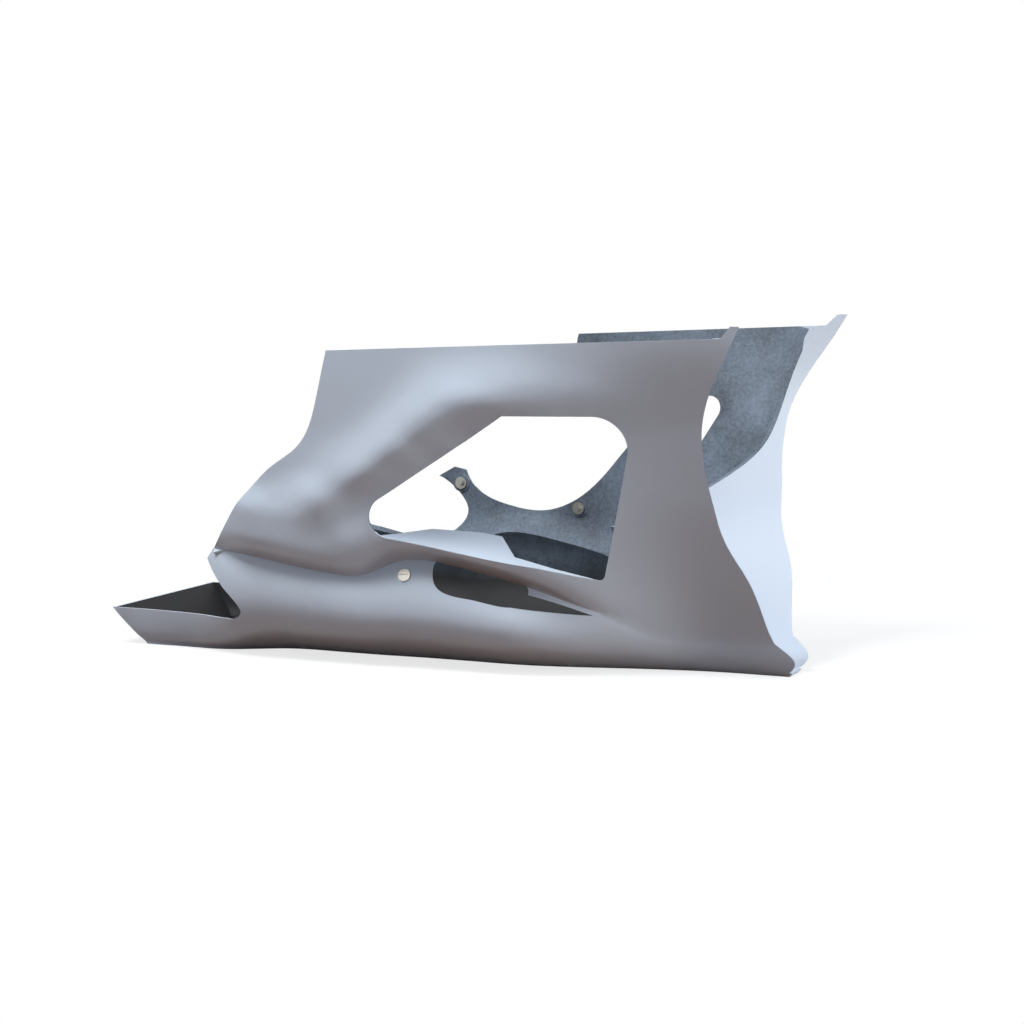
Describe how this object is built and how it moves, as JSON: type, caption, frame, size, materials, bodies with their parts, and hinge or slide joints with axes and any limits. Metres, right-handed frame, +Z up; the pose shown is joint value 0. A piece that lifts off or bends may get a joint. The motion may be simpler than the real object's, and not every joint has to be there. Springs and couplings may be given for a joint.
{
  "type": "lower fairing",
  "caption": "Moulded motorcycle lower fairing with belly, side window, left cut-out, wheel recess in front and an open tail spout.",
  "frame": {"origin": "on the underside of the keel, in the middle of the width", "axes": "+X towards the front wheel recess, +Y to the left side, +Z up"},
  "size_m": [0.8283, 0.4028, 0.398],
  "materials": {
    "laminate": "gelcoat outside, raw fibre inside",
    "fastener_metal": "satin"
  },
  "bodies": {
    "root": {"fairing_shell": "laminate", "arm_fastener": "fastener_metal", "side_fastener": "fastener_metal", "recess_fastener": "fastener_metal", "arm_ring": "fastener_metal", "side_ring": "fastener_metal", "recess_ring": "fastener_metal"}
  },
  "joints": []
}
